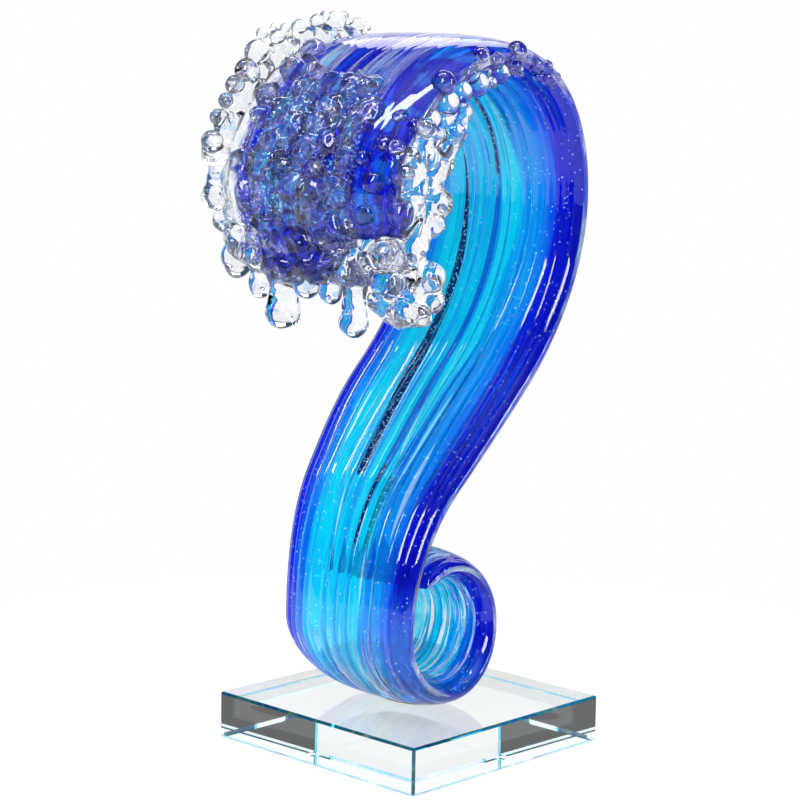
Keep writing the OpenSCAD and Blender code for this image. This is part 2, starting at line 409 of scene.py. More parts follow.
def cane_flecks(n, wide, along, at):
    """Night-blue glass full of bright metal flecks."""
    base = n.mix(n.noise(n.vector(n.times(wide, 9.0), along, 1.0), 1.0, 3.0), NIGHT, (0.001, 0.002, 0.06))
    base = n.mix(n.dots(at, 1000.0, 0.36, 0.55), base, (0.86, 0.92, 1.0))
    return n.mix(n.dots(at, 800.0, 0.26, 0.4), base, (0.98, 0.88, 0.45))


def bar_glass(name, across_stops, seed, pale=0.5, dark=0.5, bubbles=0.3, curl=0.85, painted_shine=(),
              night=None, far_clear=False, low_tint=0.0):
    """Coloured glass of one bar, streaked along the strip.

    across_stops are the colours across the bar. pale, dark, bubbles and curl are the shares of
    pale lines, dark lines, bubbles and clear glass inside the curl; low_tint is azure low down.
    """
    n = new_material(name)
    across, along, side, wide = (n.attribute(mark) for mark in MARKS)
    at = n.position()
    slow = n.noise(n.vector(n.times(wide, 0.8), n.times(along, 0.16), seed), 1.0, 3.0, 0.55)
    shifted = n.math("ADD", across, n.times(n.math("SUBTRACT", slow, 0.5), 0.8))
    colour = n.ramp(shifted, across_stops)
    if low_tint:
        low = n.times(
            n.spread(along, 6.5, 9.0), n.spread(along, 16.0, 13.5), n.spread(slow, 0.30, 0.55), low_tint)
        colour = n.mix(low, colour, AZURE)
    lines = n.noise(n.vector(n.times(wide, 4.2), n.times(along, 0.08), seed + 7), 1.0, 3.0, 0.6)
    colour = n.mix(n.spread(lines, 0.59, 0.63, 0.0, 0.55 * dark), colour, DEEP_COBALT)
    colour = n.mix(n.spread(lines, 0.40, 0.36, 0.0, 0.7 * pale), colour, PALE_CYAN)
    strands = n.noise(n.vector(n.times(wide, 2.6), n.times(along, 0.22), seed + 3), 1.0, 3.0, 0.6)
    inside = n.spread(along, CURL_END + 2, CURL_END - 2)
    colour = n.mix(n.times(inside, n.spread(strands, 0.49, 0.55), curl), colour, CLEAR)
    streaks = chance_streaks(n, wide, along, 3.1, 0.17, 0.20, 0.16 * dark, seed + 1)
    colour = n.mix(n.times(streaks, 0.8), colour, DEEP_COBALT)
    near_side = n.spread(side, 0.3, -0.3)
    # Painted reflection: silvery streaks where long air lenses inside the glass catch the light
    for streak in painted_shine:
        colour = n.mix(n.times(lens(n, wide, along, streak), near_side, 0.95), colour, PAINTED_SHINE)
    if night:
        ragged = n.noise(n.vector(n.times(wide, 8.0), n.times(along, 3.0), 2.0), 1.0, 2.0)
        shifted = n.math("ADD", along, n.times(n.math("SUBTRACT", ragged, 0.5), 0.9))
        mask = n.times(lens(n, wide, along, night), n.spread(shifted, NIGHT_END, NIGHT_END + 0.15))
        colour = n.mix(n.times(mask, near_side), colour, cane_flecks(n, wide, along, at))
    ticks = n.noise(n.vector(n.times(wide, 9.0), n.times(along, 26.0), seed), 1.0, 2.0, 0.5)
    colour = n.mix(n.spread(ticks, 0.69, 0.73, 0.0, 0.4), colour, AZURE)
    colour = n.mix(n.dots(at, 620.0, 0.24, bubbles), colour, BUBBLE_WHITE)
    colour = n.mix(crest_mask(n, along, side), colour, crest_veil(n, wide, along, at))
    if far_clear:
        edge = n.math("ADD", wide, n.times(n.math("SUBTRACT", n.noise(at, 70.0, 3.0), 0.5), 1.4))
        tints = n.mix(n.spread(n.noise(at, 55.0, 2.0), 0.60, 0.70), CLEAR, (0.05, 0.70, 0.75))
        colour = n.mix(n.times(n.spread(along, 41.0, 44.0), n.spread(edge, 3.0, 3.35)), colour, tints)
    return n.principled(
        Base_Color=colour, Roughness=0.0, IOR=GLASS_IOR, Transmission_Weight=BODY_TRANSMISSION)


def aventurine_glass():
    """Thin dark cane of metal flecks, strongest low on the strip and blue above."""
    n = new_material("aventurine")
    across, along, side, wide = (n.attribute(mark) for mark in MARKS)
    at = n.position()
    base = cane_flecks(n, wide, along, at)
    glass = n.mix(n.spread(across, 0.1, 0.9), CYAN, SKY)
    level = n.noise(n.vector(n.times(wide, 5.0), n.times(along, 2.0), 2.0), 1.0, 2.0)
    ragged = n.math("ADD", along, n.times(n.math("SUBTRACT", level, 0.5), 1.6))
    lower = n.times(n.spread(ragged, 16.4, 17.2), n.spread(ragged, 20.6, 20.0))
    inner = n.times(n.spread(ragged, 34.5, 35.5), n.spread(ragged, 39.8, 39.6))
    line = n.spread(n.math("ABSOLUTE", n.math("SUBTRACT", across, 0.45)), 0.42, 0.34)
    blue = n.times(n.spread(ragged, 20.0, 20.6), n.spread(ragged, 35.0, 34.0), line, 0.85)
    colour = n.mix(blue, glass, DEEP_COBALT)
    colour = n.mix(n.times(n.math("MAXIMUM", lower, inner), n.spread(line, 0.0, 0.6)), colour, base)
    colour = n.mix(crest_mask(n, along, side), colour, crest_veil(n, wide, along, at))
    return n.principled(
        Base_Color=colour, Roughness=0.0, IOR=GLASS_IOR, Transmission_Weight=BODY_TRANSMISSION)


def rim_glass(name, tint, start=0.40):
    """Clear edge of the strip, with a breath of colour and faint lines of flow."""
    n = new_material(name)
    along, wide = n.attribute("along"), n.attribute("wide")
    flow = n.noise(n.vector(n.times(wide, 6.0), n.times(along, 0.3), 4.0), 1.0, 3.0)
    colour = n.mix(n.spread(flow, start, start + 0.16), CLEAR, tint)
    colour = n.mix(n.dots(n.position(), 700.0, 0.16, 0.3), colour, BUBBLE_WHITE)
    return n.principled(
        Base_Color=colour, Roughness=0.0, IOR=GLASS_IOR, Transmission_Weight=RIM_TRANSMISSION)


def seam_glass():
    """Where two bars are fused there is no surface to see."""
    n = new_material("seam")
    return n.principled(Base_Color=(1.0, 1.0, 1.0, 1.0), Alpha=0.0)


# The cobalt core seen through the foam at the lip's end, in metres: its lower edge, its height,
# half its width and how softly it ends
CORE_LOW, CORE_HIGH, CORE_WIDE, CORE_SOFT = 0.1965, 0.017, 0.019, 0.002


def foam_glass(name, tint, tinted, specks, night=0.0, painted_glints_and_threads=0.3, ior=GLASS_IOR, core=False, clear=1.0):
    """Clear melted foam: glossy, with patches of colour drawn into it and fine bubbles.

    tinted, specks and night are the shares of the tint, of white specks and of dark glass; the next share
    is that of thin swirling lines, white ones painted as highlights and cobalt ones threads of colour in
    the glass. core draws the lip's cobalt core, and clear lets light pass.
    """
    n = new_material(name)
    at = n.position()
    colour = n.mix(n.spread(n.noise(at, 90.0, 3.0), 0.40, 0.65), CLEAR, (0.93, 0.95, 0.985))
    drawn = n.noise(at, 130.0, 3.0, 0.55)
    colour = n.mix(n.spread(drawn, 0.66 - 0.3 * tinted, 0.72 - 0.3 * tinted), colour, tint)
    dark = n.noise(at, 105.0, 3.0, 0.6)
    colour = n.mix(n.spread(dark, 0.60, 0.66, 0.0, night), colour, NIGHT)
    # Painted highlights: the thin white swirling lines stand for glints of the lamps; the fainter cobalt
    # lines are threads of colour in the glass
    for rate, amount, shade in ((120.0, painted_glints_and_threads, BUBBLE_WHITE), (85.0, 0.4 * painted_glints_and_threads, DEEP_COBALT)):
        swirl = n.noise(at, rate, 2.0, 0.45, distortion=1.8)
        line = n.spread(n.math("ABSOLUTE", n.math("SUBTRACT", swirl, 0.5)), 0.030, 0.010, 0.0, amount)
        colour = n.mix(line, colour, shade)
    if core:
        parts = n.add("SeparateXYZ")
        n.put(parts.inputs[0], at)
        stray = n.times(n.math("SUBTRACT", n.noise(at, 110.0, 3.0, 0.6), 0.5), 0.030)
        height = n.math("ADD", parts.outputs["Z"], stray)
        away = n.math("ABSOLUTE", n.math("ADD", parts.outputs["Y"], stray))
        top = CORE_LOW + CORE_HIGH
        mask = n.times(
            n.spread(height, CORE_LOW - CORE_SOFT, CORE_LOW + CORE_SOFT),
            n.spread(height, top + 1.5 * CORE_SOFT, top - 1.5 * CORE_SOFT),
            n.spread(away, CORE_WIDE + CORE_SOFT, CORE_WIDE - CORE_SOFT), n.spread(drawn, 0.42, 0.50), 0.92)
        colour = n.mix(mask, colour, n.mix(n.spread(dark, 0.56, 0.62), ULTRAMARINE, NIGHT))
    colour = n.mix(n.dots(at, 850.0, 0.28, specks), colour, BUBBLE_WHITE)
    return n.principled(
        Base_Color=colour,
        Roughness=0.0,
        IOR=ior,
        Transmission_Weight=clear,
        Normal=n.bump(n.noise(at, 200.0, 2.0, 0.5), 0.2, 0.0002),
    )


CRYSTAL_IOR = 1.52
# The bevels' blues and their glow are painted: a painted reflection of the wave, not a colour of the
# crystal
PAINTED_BEVEL_GLOW = 0.22
PAINTED_BEVEL_BLUES = [
    (0.36, (0.60, 0.93, 0.95)), (0.46, (0.03, 0.42, 0.50)), (0.52, (0.01, 0.45, 0.80)),
    (0.60, (0.01, 0.08, 0.75)), (0.66, (0.10, 0.70, 0.80))]


def crystal():
    """Polished optical crystal, faintly green; its narrow bevels carry a painted reflection of the wave's
    blues, and glow with it though they are no lamp.
    """
    n = new_material("crystal")
    at = n.position()
    colour = n.mix(n.noise(at, 60.0, 2.0), (0.945, 0.985, 0.970), (0.955, 0.990, 0.978))
    normal = n.add("SeparateXYZ")
    n.put(normal.inputs[0], n.add("NewGeometry").outputs["True Normal"])
    squares = [n.times(axis, axis, axis, axis) for axis in normal.outputs]
    flatness = n.math("ADD", n.math("ADD", squares[0], squares[1]), squares[2])
    # Painted reflection: the bevels take the wave's blues as base colour and as an emitted glow
    edge = n.ramp(n.noise(at, 55.0, 4.0, 0.7), PAINTED_BEVEL_BLUES)
    bevel = n.spread(flatness, 0.9, 0.7)
    colour = n.mix(bevel, colour, edge)
    painted_glow = n.mix(n.times(bevel, PAINTED_BEVEL_GLOW), (0.0, 0.0, 0.0), edge)
    return n.principled(
        Base_Color=colour,
        Roughness=0.0,
        IOR=CRYSTAL_IOR,
        Transmission_Weight=1.0,
        Emission_Color=painted_glow,
        Emission_Strength=1.0,
    )


def adhesive():
    n = new_material("adhesive")
    patches = n.noise(n.position(), 300.0, 2.0)
    colour = n.mix(patches, (0.90, 0.95, 1.0), (0.97, 0.99, 1.0))
    return n.principled(Base_Color=colour, Roughness=0.08, IOR=1.45, Transmission_Weight=0.95)


# The strip: nine bars of coloured glass, side by side, fluted on the inner face

# Where the bars meet, from the far rim to the near one, and the flutes of each bar
BAR_EDGES = [1, 0.975, 0.76, 0.22, -0.06, -0.14, -0.45, -0.74, -0.988, -1]
FLUTES = [
    [(1, 0.975)],
    [(0.975, 0.86), (0.86, 0.76)],
    [(0.76, 0.61), (0.61, 0.53), (0.53, 0.31), (0.31, 0.22)],
    [(0.22, 0.08), (0.08, -0.06)],
    [(-0.06, -0.14)],
    [(-0.14, -0.22), (-0.22, -0.36), (-0.36, -0.45)],
    [(-0.45, -0.62), (-0.62, -0.74)],
    [(-0.74, -0.84), (-0.84, -0.988)],
    [(-0.988, -1)],
]
WIDEST = 47  # half the strip's greatest width, in mm
RING_STEP = 2.2  # mm between rings of points along it
COLUMN = 0.95  # mm between points across it
RIM_COLUMNS = 7
END_ROUND = 7  # mm over which each end is rounded
END_RINGS = 6
THIN_END = 0.03  # share of the thickness left at the very end
FLUTE_INNER, FLUTE_OUTER = 0.95, 0.07  # depth of the flutes on either face, in mm


def wander(u, s):
    """How far a line along the glass strays from its straight course."""
    calm = 0.35 if abs(u) > 0.9 else 1.0
    loose = 1 - abs(u) ** 12
    return calm * loose * (0.013 * math.sin(s / 37 + 9 * u) + 0.007 * math.sin(s / 15 + 23 * u))


def end_rounding(s):
    d = min(s, PATH_LEN - s)
    if d >= END_ROUND:
        return 1.0
    return max(THIN_END, math.sqrt(max(0.0, 1 - (1 - d / END_ROUND) ** 2)))


def dent(s, u, x, width, side):
    """How far the glass lies below the model's surface: creases between flutes, slow waves."""
    crease = abs(2 * x - 1) ** 2.4
    depth = min(1.0, width / 6) * (FLUTE_OUTER if side > 0 else FLUTE_INNER)
    wave = 0.16 * math.sin(s / 23 + 3 * u) + 0.10 * math.sin(s / 10 - 5 * u + 1.3)
    return depth * crease + 0.26 - wave * (0.4 if side > 0 else 1.0)


def sections():
    """Places along the strip, closer together at its rounded ends."""
    count = round(PATH_LEN / RING_STEP)
    plain = [PATH_LEN * k / count for k in range(count + 1)]
    ends = []
    for k in range(END_RINGS + 1):
        d = END_ROUND * (1 - math.cos(math.pi / 2 * k / END_RINGS))
        ends += [d, PATH_LEN - d]
    inner = [s for s in plain if END_ROUND < s < PATH_LEN - END_ROUND]
    return sorted(inner + ends)


def bar_columns(bar):
    """Shares across each flute of a bar, as (flute, share)."""
    columns = []
    for flute in FLUTES[bar]:
        far, near = flute
        rim = 1 in (far, -near)
        count = RIM_COLUMNS if rim else max(4, round((far - near) * WIDEST / COLUMN))
        for k in range(count + 1):
            if k == 0 and columns:
                continue
            x = k / count
            if far == 1:
                x = x * x
            elif near == -1:
                x = 1 - (1 - x) ** 2
            columns.append((flute, x))
    return columns


def bar_rows(bar, s, columns):
    """The outer and inner rows of points of a bar at s, each with its marks."""
    rounding = end_rounding(s)
    rows = {1: [], -1: []}
    edge_far = BAR_EDGES[bar] + wander(BAR_EDGES[bar], s)
    edge_near = BAR_EDGES[bar + 1] + wander(BAR_EDGES[bar + 1], s)
    for (far, near), x in columns:
        a, b = far + wander(far, s), near + wander(near, s)
        u = a + (b - a) * x
        width = (far - near) * along_at(s, STRIP_W) / 2
        full = half_thickness(s, u)
        for side in (1, -1):
            low = dent(s, u, x, width, side) * min(1, full / 4)
            t = (full - low) * rounding
            point = place(s, u * (0.93 + 0.07 * rounding), side * t)
            across = (edge_far - u) / (edge_far - edge_near)
            rows[side].append((point, (across, s / 10, side, u * HALF_WIDE)))
    return rows[1], rows[-1]


def make_bar(bar, node, glass, seam):
    """One closed bar of the strip; the walls where it is fused to the next are not seen."""
    bm = bmesh.new()
    layers = [bm.verts.layers.float.new(name) for name in MARKS]
    uv = bm.loops.layers.uv.new("map")
    columns = bar_columns(bar)
    open_far, open_near = bar == 0, bar == len(FLUTES) - 1
    rings = []
    for s in sections():
        outer, inner = bar_rows(bar, s, columns)
        if open_near:
            inner = inner[:-1]
        if open_far:
            inner = inner[1:]
        ring = []
        for point, marks in outer + inner[::-1]:
            v = bm.verts.new(point)
            for layer, value in zip(layers, marks):
                v[layer] = value
            ring.append(v)
        rings.append((s, ring))
    n = len(rings[0][1])
    last = len(columns) - 1
    walls = ([] if open_near else [last]) + ([] if open_far else [n - 1])
    for (s0, a), (s1, b) in zip(rings, rings[1:]):
        for j in range(n):
            k = (j + 1) % n
            face = bm.faces.new((a[j], b[j], b[k], a[k]))
            face.material_index = 1 if j in walls else 0
            spots = ((s0, j), (s1, j), (s1, j + 1), (s0, j + 1))
            for loop, (s, row) in zip(face.loops, spots):
                loop[uv].uv = (s / PATH_LEN, row / n)
            if j in walls:
                for edge in face.edges:
                    if (edge.verts[0] in a) == (edge.verts[1] in b):
                        edge.smooth = False
    for _, ring in (rings[0], rings[-1]):
        bm.faces.new(ring)
    finish_mesh(node.replace("_bar", "_glass"), bm, [glass, seam], node)


def make_strip():
    glasses = [
        ("clear_far_edge", "clear_glass", rim_glass("clear_far", (0.80, 0.90, 0.98))),
        ("cobalt_far_bar", "cobalt_glass", bar_glass(
            "cobalt_far", [(0.0, COBALT), (0.30, ULTRAMARINE), (0.60, COBALT), (0.85, AZURE)], 1,
            pale=0.25, dark=0.4, curl=0.2, bubbles=0.6, far_clear=True)),
        ("turquoise_wide_bar", "turquoise_glass", bar_glass(
            "turquoise_wide", [(0.0, AZURE), (0.26, SKY), (0.36, CYAN), (0.80, CYAN), (0.95, SKY)], 12,
            painted_shine=PAINTED_SHINE_MIDDLE, night=NIGHT_STREAK, far_clear=True)),
        ("azure_mid_bar", "azure_glass", bar_glass(
            "azure_mid", [(0.0, SKY), (0.30, CYAN), (0.55, SKY), (0.85, CYAN)], 23,
            painted_shine=PAINTED_SHINE_MIDDLE, night=NIGHT_STREAK)),
        ("aventurine_cane", "aventurine_glass", aventurine_glass()),
        ("turquoise_near_bar", "turquoise_glass", bar_glass(
            "turquoise_near", [(0.0, CYAN), (0.50, CYAN), (0.62, SKY), (0.95, AZURE)], 34,
            pale=0.6, painted_shine=PAINTED_SHINE_NEAR)),
        ("azure_near_bar", "azure_glass", bar_glass(
            "azure_near", [(0.0, SKY), (0.35, SKY), (0.60, AZURE), (0.95, ULTRAMARINE)], 45,
            pale=0.4, dark=0.4, curl=0.5, painted_shine=PAINTED_SHINE_OUTER)),
        ("cobalt_near_bar", "cobalt_glass", bar_glass(
            "cobalt_near", [(0.0, COBALT), (0.35, DEEP_COBALT), (0.75, COBALT), (0.95, DEEP_COBALT)], 56,
            pale=0.0, dark=0.3, curl=0.0, bubbles=0.45, low_tint=0.75)),
        ("clear_near_edge", "clear_glass", rim_glass("clear_near", (0.02, 0.03, 0.80), 0.38)),
    ]
    seam = seam_glass()
    for bar, (node, slot, glass) in enumerate(glasses):
        make_bar(bar, node, glass, seam)


# Foam

NOISE_SEED = 4  # the noise differs from run to run unless it is seeded
BOX_MARGIN = 1.0  # room for the wrinkles, in mm
AIR_TRIES = 12  # tries for each air bubble, since many would break the skin


def kept_inside(centre, radius):
    """The centre of a ball, moved so that the ball stays inside the model's box."""
    r = (radius + BOX_MARGIN) * MM
    return Vector([min(max(c, low + r), high - r) for c, low, high in zip(centre, CAD_LOW, CAD_HIGH)])


def add_ball(bm, centre, radius, stretch=(1.0, 1.0, 1.0), steps=3):
    made = bmesh.ops.create_icosphere(bm, subdivisions=steps, radius=radius * MM)
    bmesh.ops.scale(bm, vec=stretch, verts=made["verts"])
    bmesh.ops.translate(bm, vec=kept_inside(centre, radius), verts=made["verts"])
    return made["verts"]


def add_run(bm, lumps, spacing=0.45):
    """Balls along a chain of lumps (x, y, z, radius) in the wave's plane, close enough to melt."""
    for a, b in zip(lumps, lumps[1:]):
        gap = math.dist(a[:3], b[:3])
        count = max(1, round(gap / (spacing * min(a[3], b[3]))))
        for k in range(count):
            x = k / count
            q = [a[i] + (b[i] - a[i]) * x for i in range(4)]
            add_ball(bm, turned(*q[:3]), q[3])
    add_ball(bm, turned(*lumps[-1][:3]), lumps[-1][3])


def fold(p, size, seed):
    """Smooth noise with a few drawn-out ridges, about -1 to 1, at a point in mm."""
    q = p / size + Vector((seed, 2 * seed, 0))
    bend = noise.noise_vector(q * 0.7) * 0.8
    return 0.7 * noise.noise(q + bend) + 0.8 * (0.3 - abs(noise.noise(q * 1.3 - bend)) * 1.6)


def wrinkle(piece, reach, size, seed):
    """Moves the points of a piece along their normals by folds, in mm, mostly inwards."""
    mesh = piece.data
    moved_to = []
    for v in mesh.vertices:
        move = reach * (fold(v.co / MM, size, seed) - 0.25) * MM
        moved_to.append(v.co + v.normal * move)
    for v, p in zip(mesh.vertices, moved_to):
        v.co = p
    mesh.update()


def add_air(piece, seed, count, small, large):
    """Closed air bubbles inside the glass, each a small ball whose faces look inwards."""
    draw = random.Random(seed)
    bm = bmesh.new()
    bm.from_mesh(piece.data)
    skin = BVHTree.FromBMesh(bm)
    corners = [Vector(c) for c in piece.bound_box]
    spots = []
    for _ in range(count * AIR_TRIES):
        chance = [draw.uniform(corners[0][i], corners[6][i]) for i in range(3)]
        point, normal = skin.find_nearest(Vector(chance))[:2]
        r = small + (large - small) * draw.random() ** 2
        centre = point - normal * (r + 0.5 + 3.0 * draw.random()) * MM
        near = skin.find_nearest(centre)
        if near[3] < (r + 0.3) * MM or (centre - near[0]).dot(near[1]) > 0:
            continue
        if any((centre - c).length < (r + q + 0.3) * MM for c, q in spots):
            continue
        spots.append((centre, r))
        if len(spots) == count:
            break
    for centre, r in spots:
        verts = add_ball(bm, centre, r, steps=2)
        faces = {f for v in verts for f in v.link_faces}
        bmesh.ops.reverse_faces(bm, faces=list(faces))
    bm.to_mesh(piece.data)
    bm.free()
    piece.data.shade_smooth()


def in_order(piece):
    """Puts points, edges and faces in a fixed order: the remesh leaves them in a chance one."""
    bm = bmesh.new()
    bm.from_mesh(piece.data)
    for parts, key in (
        (bm.verts, lambda v: v.co[:]),
        (bm.edges, lambda e: sorted(v.index for v in e.verts)),
        (bm.faces, lambda f: f.calc_center_median()[:]),
    ):
        for rank, part in enumerate(sorted(parts, key=key)):
            part.index = rank
        parts.sort()
    bm.to_mesh(piece.data)
    bm.free()


def melted(name, bm, material, node, voxel, smooth, wrinkles, air):
    """Fuses overlapping balls into one flowing skin.

    voxel is the remesh's step in mm, and smooth its rounds of smoothing. wrinkles are (reach,
    size, seed) and air (seed, count, smallest and largest radius) of the bubbles.
    """
    piece = finish_mesh(name, bm, [material], node)
    baked(piece, ("REMESH", {"mode": "VOXEL", "voxel_size": voxel * MM}))
    in_order(piece)
    baked(piece, ("SMOOTH", {"factor": 0.6, "iterations": smooth}))
    wrinkle(piece, *wrinkles)
    add_air(piece, *air)


# Lumps and beads, in mm. Those of the curtain and the fringe are (x, y, z, radius) in the wave's
# plane, the bulbs of the drips (y, z, radius), and those of the rims (s, out, radius).

CURTAIN_INNER = [
    (-25, -42, 258, 5.5), (-32, -43, 248, 7), (-38, -43, 240, 7.5), (-46, -43, 232, 7),
    (-44, -43, 223, 8), (-51, -42, 213, 8), (-54, -41, 205, 8.5), (-50, -41, 196, 9),
    (-50, -40, 188, 8.5), (-58, -38, 184, 7.5), (-66, -35, 189, 7)]
CURTAIN_OUTER = [
    (-46, -43, 251, 6), (-55, -44, 243, 6.5), (-57, -44, 230, 7), (-58, -43, 217, 7.5),
    (-60, -42, 204, 7.5), (-64, -38, 194, 7)]
INNER_SHARE, OUTER_SHARE, RUNG_SHARE = 0.66, 0.8, 0.6  # how thick the runs between the lumps are
CURTAIN_LUMPS = [
    (-41, -45, 245, 4.8), (-52, -46, 242, 5.6), (-43, -45, 224.5, 6), (-46, -45, 217, 5.4),
    (-56, -46, 209.5, 6), (-46, -44, 196.5, 6.8), (-44.5, -44, 188, 5.6), (-53, -44, 183, 5.6),
    (-66, -44, 246, 3.8), (-61, -46, 236, 6.6), (-64, -46, 222, 5.8), (-70, -43, 207, 6.8),
    (-70, -43, 196, 6), (-62, -45, 184, 5.4), (-60, -46, 197, 6.2), (-52, -46, 254, 4),
    (-36, -46, 251, 4.2)]
# Domes on the smooth lobe beside the curtain: (s, u, radius)
LOBE_DOMES = [
    (522, -0.80, 5.2), (509, -0.82, 4.2), (532, -0.72, 4.6), (497, -0.84, 3.6), (515, -0.68, 3.4)]
FRINGE = [
    (-60, -30, 203, 10), (-60, -19, 203, 10.5), (-60, -8, 203, 11), (-60, 4, 203, 11),
    (-60, 16, 203, 11), (-60, 27, 204, 10), (-59, 36, 206, 9), (-58, 43, 209, 7.5)]
DRIPS = [
    (-19, 179, 6.05), (-7, 189.5, 4.8), (5, 192, 6.175), (17, 180, 7.28), (29, 189.5, 5.225), (41, 197, 6)]
DRIP_X, DRIP_TOP = -60, 198
DRIP_ROOT, DRIP_NECK = 1.2, 0.72  # how thick a drip is above its bulb, as shares of the bulb
NEAR_BEADS = [
    (403, -2, 3.2), (415, -1, 3.2), (428, 2, 4), (431, -3, 3.8), (442, -1, 3.5), (440, -6, 3.8),
    (450, 3, 3), (459, -2, 3.6), (456, -7, 4.6), (467, -6, 4), (475, 2, 4.6), (478, -5, 5),
    (483, -10, 4.2), (490, -4, 4), (498, 1, 3.2)]
FAR_BEADS = [
    (404, 8, 3), (412, 10, 3.2), (421, 12, 3.2), (432, 14, 4.2), (442, 13, 3), (452, 13, 3.2),
    (464, 14, 3), (476, 14, 5), (484, 12, 4.8), (492, 13, 3.6), (499, 13, 2.8), (506, 13, 3),
    (514, 12, 4)]
EDGING = [
    (400, 3, 3.2), (410, 5, 4), (425, 7, 5), (440, 7.5, 5.2), (460, 8, 5.4), (480, 8, 5.6),
    (500, 7, 5.6), (514, 5.5, 5.8), (526, 3, 6.5), (536, 1, 7)]
EDGING_LUMPS = [
    (505, 9, 5.5), (517, 10, 6.5), (529, 6, 6.5), (538, 2, 7.0)]
RIM_U = 0.96  # where the edging and the beads run
BEAD_SWELL = 1.1
FOAM_R = 8.5  # radius of the blanket's balls, in mm


# The blanket's lumps below the lip, and its rows of balls over the brow
BLANKET_LOW = [
    (-66, -14, 204, 7), (-67, -4, 200, 7.5), (-67, 7, 199, 7.5), (-66, 16, 203, 7),
    (-68, 0, 209, 8), (-68, 11, 210, 8), (-67, -12, 212, 7.5), (-66, 21, 211, 7)]
BLANKET_ROWS, BLANKET_COLUMNS = 7, 6
BLANKET_START = 56  # mm from the start of the brow
BLANKET_FAR, BLANKET_WIDE = 0.62, 1.06  # its far side and its width, as shares of half the strip's
BLANKET_DOMES = 9
BLANKET_CLIMB = 20  # how much further up the crest it reaches at the far side, in mm


def blanket_balls(bm):
    """Rows of balls over the brow, domes strewn among them and lumps hanging below."""
    first = STARTS[6] + BLANKET_START
    for i in range(BLANKET_ROWS):
        for j in range(BLANKET_COLUMNS):
            stray = 0.15 * math.sin(math.radians(137 * i + 59 * j))
            u = BLANKET_FAR - BLANKET_WIDE * (j + 0.35 * (i % 2) + stray) / (BLANKET_COLUMNS - 1)
            start = first - BLANKET_CLIMB * ease((u - 0.05) / 0.55) + 5 * math.sin(7 * u)
            stray = 0.2 * math.sin(math.radians(211 * i + 83 * j))
            s = start + (PATH_LEN - start) * (i + stray) / (BLANKET_ROWS - 1)
            r = FOAM_R * (0.88 + 0.16 * math.sin(math.radians(97 * i + 151 * j)))
            add_ball(bm, place(s, u, half_thickness(s, u) - 0.30 * r), r * 0.93)
    draw = random.Random(5)
    for _ in range(BLANKET_DOMES):
        s = draw.uniform(first, PATH_LEN - 4)
        u = draw.uniform(-0.42, 0.6)
        r = draw.uniform(4.0, 6.0)
        add_ball(bm, place(s, u, half_thickness(s, u) + 5.8 - r * draw.uniform(0.7, 1.1)), r)
    for x, y, z, r in BLANKET_LOW:
        add_ball(bm, turned(x, y, z), r)


def bead_row(bm, beads, side, seed, small_count):
    """The listed beads, a little flattened, and small ones strewn among them."""
    for k, (s, out, r) in enumerate(beads):
        add_ball(bm, place(s, side, out), r * BEAD_SWELL, (1.0, 1.0 - 0.04 * (k % 3), 1.0), 4)
    draw = random.Random(seed)
    for _ in range(small_count):
        s, out, r = beads[draw.randrange(len(beads))]
        small = draw.uniform(1.3, 2.6)
        turn = draw.uniform(0, 2 * math.pi)
        reach = r * BEAD_SWELL + small * 0.8
        add_ball(bm, place(s + reach * math.cos(turn), side, out + reach * math.sin(turn)), small)


